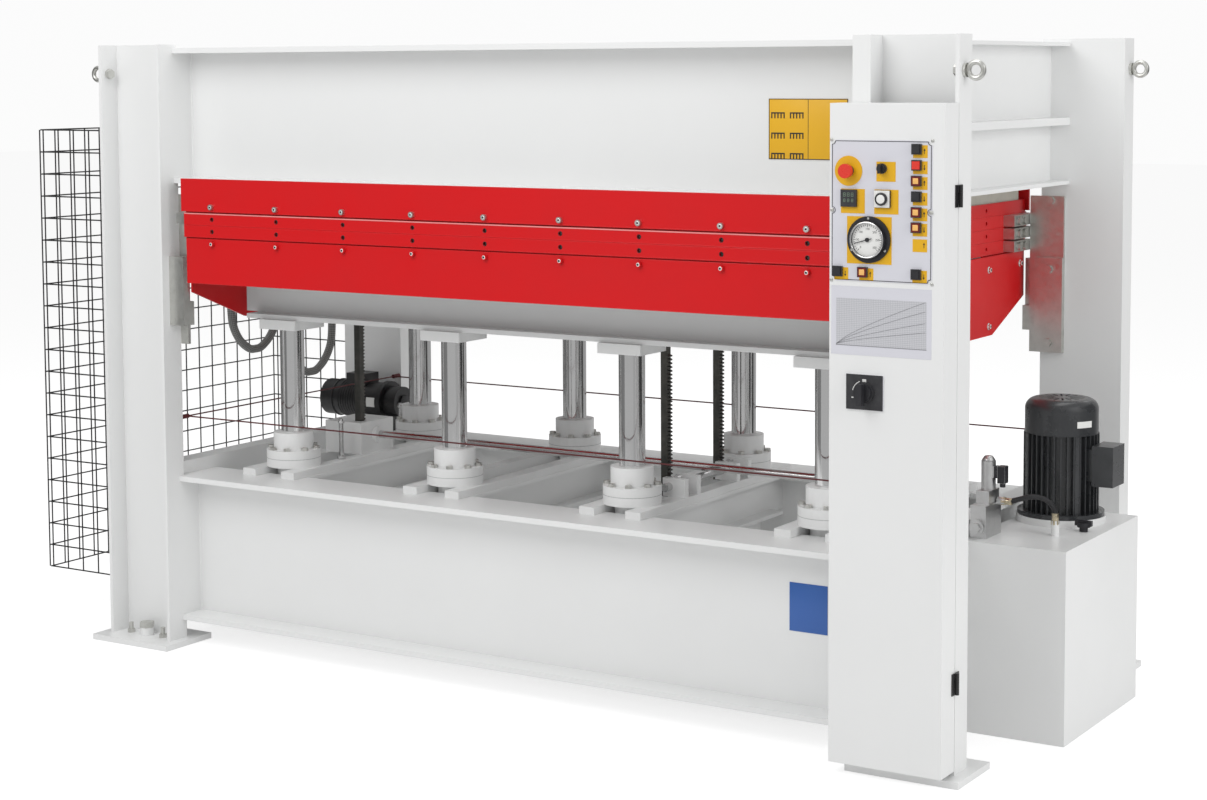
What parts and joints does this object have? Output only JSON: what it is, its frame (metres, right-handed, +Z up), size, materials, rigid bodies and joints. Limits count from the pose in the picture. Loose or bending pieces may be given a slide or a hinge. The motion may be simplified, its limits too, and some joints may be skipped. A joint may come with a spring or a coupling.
{
  "type": "hydraulic hot press",
  "caption": "Upstroke hydraulic hot press: stacked heated platens in a welded beam frame, raised by cylinders under a geared table, with a control door and a tank-top pump.",
  "frame": {"origin": "on the floor, centred between the four columns' anchor holes", "axes": "+X along the platens towards the pump unit, +Y towards the rear, +Z up"},
  "size_m": [3.7545, 1.633, 2.1],
  "materials": {
    "white_paint": "satin off-white paint",
    "red_paint": "semi-gloss red paint",
    "zinc_steel": "zinc-plated steel",
    "polished_steel": "polished steel",
    "dark_grey_paint": "dark grey paint",
    "black_parts": "black plastic",
    "insulation": "pressed mineral board",
    "aluminium_block": "machined aluminium",
    "hose_rubber": "black rubber hose",
    "black_wire": "black paint",
    "black_iron": "black painted casting",
    "rope": "covered rope",
    "gear_plastic": "grey plastic switchgear",
    "chrome_rod": "hard chrome",
    "dark_steel": "oiled dark steel",
    "panel_sheet": "brushed sheet",
    "gauge_case": "black gauge case",
    "red_plastic": "red plastic"
  },
  "bodies": {
    "frame": {"columns": "white_paint", "column_front_right": "white_paint", "foot_plates": "white_paint", "frame_fasteners": "zinc_steel", "eye_bolts": "zinc_steel", "upper_frame": "white_paint", "end_beams": "white_paint", "insulation_board": "insulation", "upper_platen": "red_paint", "upper_edge_bands": "red_paint", "base_frame": "white_paint", "cylinder_barrels": "white_paint", "cylinder_heads": "white_paint", "head_bolts": "zinc_steel", "guide_plates": "zinc_steel", "step_hangers": "zinc_steel", "rack_housings": "white_paint", "oil_tank": "white_paint", "tank_lid": "white_paint", "pump_motor": "dark_grey_paint", "motor_fan_cover": "dark_grey_paint", "motor_terminal_box": "dark_grey_paint", "valve_block": "aluminium_block", "solenoid_valve": "aluminium_block", "filler_cap": "black_parts", "pressure_hose": "hose_rubber", "guard_mesh": "black_wire", "circulation_pump": "black_iron", "hose_header": "zinc_steel", "platen_hose_upper": "hose_rubber", "platen_hose_lower": "hose_rubber", "safety_rope": "rope", "hinge_column_leaves": "black_wire", "control_gear": "gear_plastic"},
    "table": {"table_frame": "white_paint", "lower_platen": "red_paint", "lower_skirts": "red_paint", "piston_rods": "chrome_rod", "sync_racks": "dark_steel", "table_lugs": "zinc_steel"},
    "middle_upper": {"middle_platen_upper": "red_paint", "lugs_upper": "zinc_steel"},
    "middle_lower": {"middle_platen_lower": "red_paint", "lugs_lower": "zinc_steel"},
    "long_shaft": {"sync_shaft_long": "polished_steel"},
    "cross_shaft": {"sync_shaft_cross": "polished_steel"},
    "rotor": {"motor_rotor": "black_parts"},
    "door": {"cabinet_door": "white_paint", "hinge_door_leaves": "black_wire", "control_panel": "panel_sheet", "pressure_gauge": "gauge_case"},
    "needle": {"gauge_needle": "black_parts"},
    "stop_knob": {"emergency_stop": "red_plastic"},
    "selector": {"selector_knob": "black_parts"},
    "main_handle": {"main_switch_handle": "black_parts"},
    "start": {"start_button": "black_parts"},
    "stop": {"stop_button": "red_plastic"},
    "raise": {"raise_button": "black_parts"},
    "lower": {"lower_button": "black_parts"},
    "reset": {"reset_button": "black_parts"}
  },
  "joints": [
    {"name": "table_slide", "type": "slide", "parent": "frame", "child": "table", "axis": [0, 0, -1], "range_m": [0, 0.345]},
    {"name": "middle_upper_slide", "type": "slide", "parent": "frame", "child": "middle_upper", "axis": [0, 0, -1], "range_m": [0, 0.115], "deforming": ["platen_hose_upper"]},
    {"name": "middle_lower_slide", "type": "slide", "parent": "frame", "child": "middle_lower", "axis": [0, 0, -1], "range_m": [0, 0.23], "deforming": ["platen_hose_lower"]},
    {"name": "long_shaft_spin", "type": "hinge", "parent": "frame", "child": "long_shaft", "pos_m": [0, 0, 0.684], "axis": [1, 0, 0], "range_deg": [0, 760.3]},
    {"name": "cross_shaft_spin", "type": "hinge", "parent": "frame", "child": "cross_shaft", "pos_m": [0.4, 0, 0.652], "axis": [0, 1, 0], "range_deg": [-760.3, 0]},
    {"name": "rotor_spin", "type": "hinge", "parent": "frame", "child": "rotor", "pos_m": [1.57, 0.215, 0.9], "axis": [0, 0, 1], "continuous": true},
    {"name": "door_hinge", "type": "hinge", "parent": "frame", "child": "door", "pos_m": [1.622, -0.721, 0.97], "axis": [0, 0, 1], "range_deg": [0, 120]},
    {"name": "needle_turn", "type": "hinge", "parent": "door", "child": "needle", "pos_m": [1.391, -0.832, 1.532], "axis": [0, 1, 0], "range_deg": [-30, 240]},
    {"name": "emergency_stop_press", "type": "slide", "parent": "door", "child": "stop_knob", "axis": [0, 1, 0], "range_m": [0, 0.005]},
    {"name": "selector_turn", "type": "hinge", "parent": "door", "child": "selector", "pos_m": [1.43, -0.817, 1.73], "axis": [0, 1, 0], "range_deg": [-45, 45]},
    {"name": "main_switch_turn", "type": "hinge", "parent": "door", "child": "main_handle", "pos_m": [1.379, -0.817, 1.104], "axis": [0, 1, 0], "range_deg": [0, 90]},
    {"name": "start_press", "type": "slide", "parent": "door", "child": "start", "axis": [0, 1, 0], "range_m": [0, 0.004]},
    {"name": "stop_press", "type": "slide", "parent": "door", "child": "stop", "axis": [0, 1, 0], "range_m": [0, 0.004]},
    {"name": "raise_press", "type": "slide", "parent": "door", "child": "raise", "axis": [0, 1, 0], "range_m": [0, 0.004]},
    {"name": "lower_press", "type": "slide", "parent": "door", "child": "lower", "axis": [0, 1, 0], "range_m": [0, 0.004]},
    {"name": "reset_press", "type": "slide", "parent": "door", "child": "reset", "axis": [0, 1, 0], "range_m": [0, 0.004]}
  ],
  "couplings": [
    {"joint": "middle_upper_slide", "follows": "table_slide", "ratio": 0.33333},
    {"joint": "middle_lower_slide", "follows": "table_slide", "ratio": 0.66667},
    {"joint": "long_shaft_spin", "follows": "table_slide", "rad_per_m": 38.462},
    {"joint": "cross_shaft_spin", "follows": "table_slide", "rad_per_m": -38.462}
  ]
}
